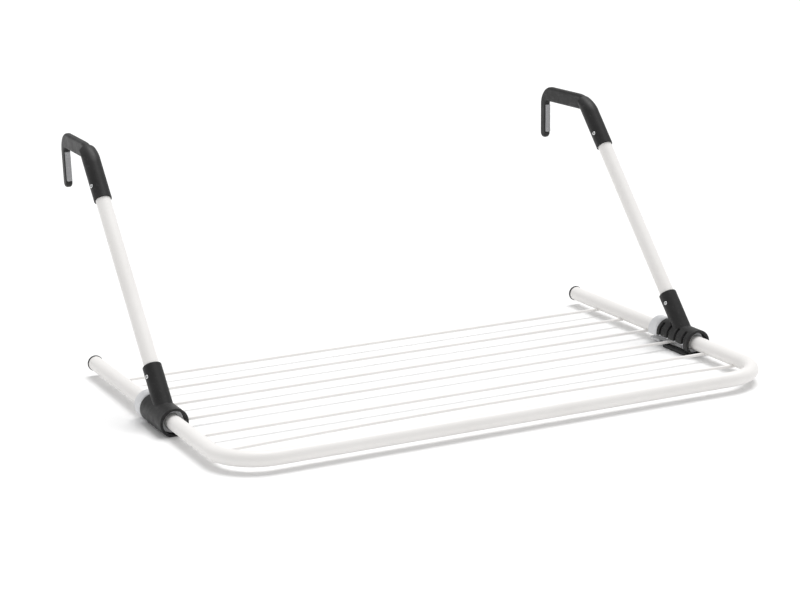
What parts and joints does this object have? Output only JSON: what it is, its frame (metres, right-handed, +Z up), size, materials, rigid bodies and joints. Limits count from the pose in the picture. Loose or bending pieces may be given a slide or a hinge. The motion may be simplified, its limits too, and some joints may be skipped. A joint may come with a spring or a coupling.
{
  "type": "hanging drying rack",
  "caption": "Drying rack that hangs by two hooks: a bent tube frame with wires across it, and two arms that slide and fold down over it.",
  "frame": {"origin": "middle of the rack in X and Y, at the height of the two sleeves' flat undersides", "axes": "+Z up, +X across the rack to the right, +Y towards the hooks and the open back of the frame"},
  "size_m": [0.714, 0.5547, 0.2911],
  "materials": {
    "powder_coat": "satin powder coat",
    "cap_plastic": "moulded, matte",
    "light_plastic": "moulded, fine grain",
    "dark_plastic": "moulded, fine grain",
    "pad_rubber": "soft, matte",
    "rivet_steel": "plated"
  },
  "bodies": {
    "frame": {"frame_tube": "powder_coat", "wire_1": "powder_coat", "wire_2": "powder_coat", "wire_3": "powder_coat", "wire_4": "powder_coat", "wire_5": "powder_coat", "wire_6": "powder_coat", "end_cap_left": "cap_plastic", "end_cap_right": "cap_plastic"},
    "slider_left": {"bush_left": "light_plastic"},
    "slider_right": {"bush_right": "light_plastic"},
    "arm_left": {"tee_sleeve_left": "dark_plastic", "arm_tube_left": "powder_coat", "hook_left": "dark_plastic", "hook_pad_left": "pad_rubber", "lower_rivet_left": "rivet_steel", "upper_rivet_left": "rivet_steel"},
    "arm_right": {"tee_sleeve_right": "dark_plastic", "arm_tube_right": "powder_coat", "hook_right": "dark_plastic", "hook_pad_right": "pad_rubber", "lower_rivet_right": "rivet_steel", "upper_rivet_right": "rivet_steel"}
  },
  "joints": [
    {"name": "slide_left", "type": "slide", "parent": "frame", "child": "slider_left", "axis": [0, 1, 0], "range_m": [-0.034, 0.017]},
    {"name": "slide_right", "type": "slide", "parent": "frame", "child": "slider_right", "axis": [0, 1, 0], "range_m": [-0.017, 0.034]},
    {"name": "fold_left", "type": "hinge", "parent": "slider_left", "child": "arm_left", "pos_m": [-0.34, 0, 0.0155], "axis": [0, 1, 0], "range_deg": [0, 70]},
    {"name": "fold_right", "type": "hinge", "parent": "slider_right", "child": "arm_right", "pos_m": [0.34, 0, 0.0155], "axis": [0, -1, 0], "range_deg": [0, 70]}
  ]
}
